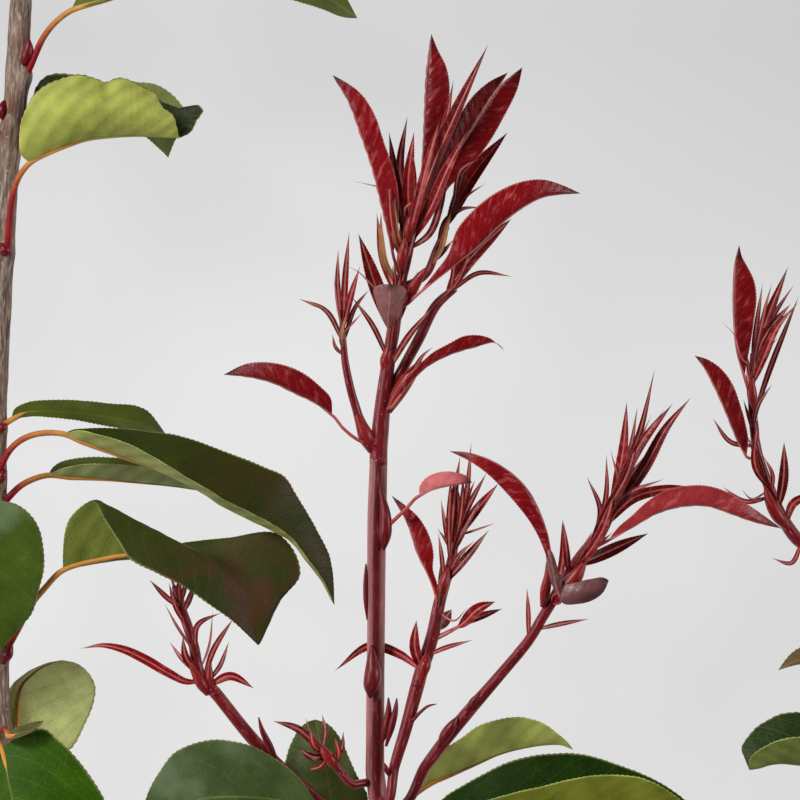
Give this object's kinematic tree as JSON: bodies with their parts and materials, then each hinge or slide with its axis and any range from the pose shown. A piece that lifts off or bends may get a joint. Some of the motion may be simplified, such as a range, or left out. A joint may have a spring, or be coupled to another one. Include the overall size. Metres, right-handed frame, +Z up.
{
  "type": "cut photinia branch",
  "caption": "Cut branch of a photinia shrub, lying down: a woody stem and boughs with glossy green leaves and slender new shoots of pointed dark red leaves.",
  "frame": {"origin": "middle of the bottom of the bounding box, on the surface that the branch lies on", "axes": "+Z up from that surface, +Y from the cut end towards the tip of the main stem, +X towards the side branches"},
  "size_m": [0.4278, 0.4656, 0.074],
  "materials": {
    "bark": "grey-brown bark, matt and finely cracked along its length",
    "red_stem": "smooth dark red young stem, satin",
    "red_leaf": "glossy dark crimson young leaf with darker pointed tips",
    "green_leaf": "leathery dark green leaf, satin above and paler below"
  },
  "bodies": {
    "root": {"centre_bough": "bark", "centre_mass": "red_leaf", "centre_shoot": "red_stem", "far_right_mass": "red_leaf", "far_right_shoot": "red_stem", "inner_mass": "red_leaf", "inner_shoot": "red_stem", "leaf_behind": "green_leaf", "leaf_bright": "green_leaf", "leaf_edge_on": "green_leaf", "leaf_folded": "green_leaf", "leaf_front": "green_leaf", "leaf_long": "green_leaf", "leaf_low_behind": "green_leaf", "leaf_low_front": "green_leaf", "leaf_low_left": "green_leaf", "leaf_low_right": "green_leaf", "leaf_lower_mid": "green_leaf", "leaf_pale": "green_leaf", "leaf_right_edge": "green_leaf", "leaf_right_small": "green_leaf", "leaf_top": "green_leaf", "leaf_twisted": "green_leaf", "leaf_upper_mid": "green_leaf", "left_mass": "red_leaf", "left_shoot": "red_stem", "low_mass": "red_leaf", "low_shoot": "red_stem", "main_stem": "bark", "outer_left_1": "green_leaf", "outer_left_2": "green_leaf", "outer_left_3": "green_leaf", "outer_left_4": "green_leaf", "outer_left_5": "green_leaf", "outer_left_6": "green_leaf", "outer_low_1": "green_leaf", "outer_low_2": "green_leaf", "outer_low_3": "green_leaf", "outer_low_4": "green_leaf", "outer_right_1": "green_leaf", "outer_right_2": "green_leaf", "outer_right_3": "green_leaf", "outer_top_1": "green_leaf", "outer_top_2": "green_leaf", "right_bough": "bark", "right_mass": "red_leaf", "right_shoot": "red_stem", "shoot_leaf": "red_leaf", "top_mass": "red_leaf"}
  },
  "joints": []
}
